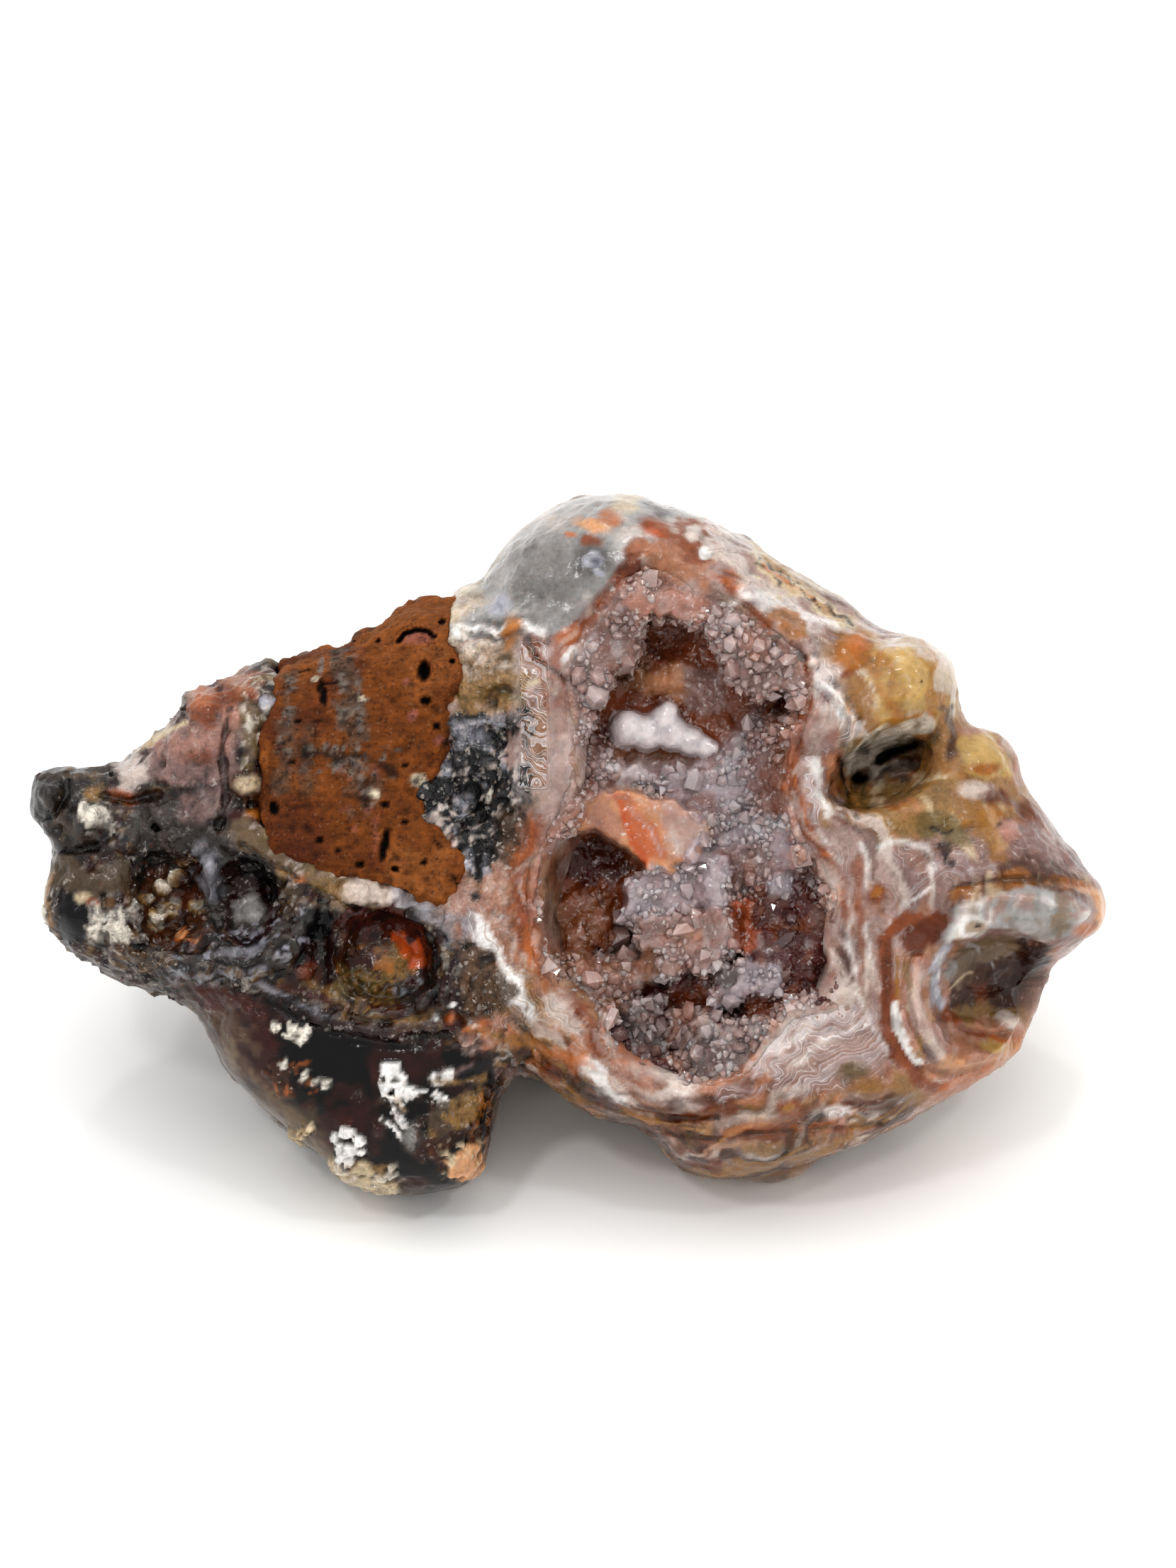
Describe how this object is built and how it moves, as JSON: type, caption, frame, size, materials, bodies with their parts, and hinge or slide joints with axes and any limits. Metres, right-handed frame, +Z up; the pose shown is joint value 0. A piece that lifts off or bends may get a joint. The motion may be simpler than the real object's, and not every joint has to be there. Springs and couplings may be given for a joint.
{
  "type": "mineral specimen",
  "caption": "Rough fire agate specimen: broken banded chalcedony nodule with a hollow lined by quartz crystals, grown on brown rhyolite and a bubbly dark mass with a glassy dome",
  "frame": {"origin": "middle of the bounding box in X and Y, at the height of the flat breaks that the stone lies on", "axes": "+X right along the stone's length, +Y back, +Z up; the broken face with the hollow looks towards -Y and leans back"},
  "size_m": [0.0954, 0.0544, 0.0537],
  "materials": {
    "chalcedony": "waxy, banded, part rough",
    "rhyolite": "matte, granular",
    "quartz": "glassy crystals"
  },
  "bodies": {
    "root": {"agate_body": "chalcedony", "rhyolite_matrix": "rhyolite", "quartz_crust": "quartz"}
  },
  "joints": []
}
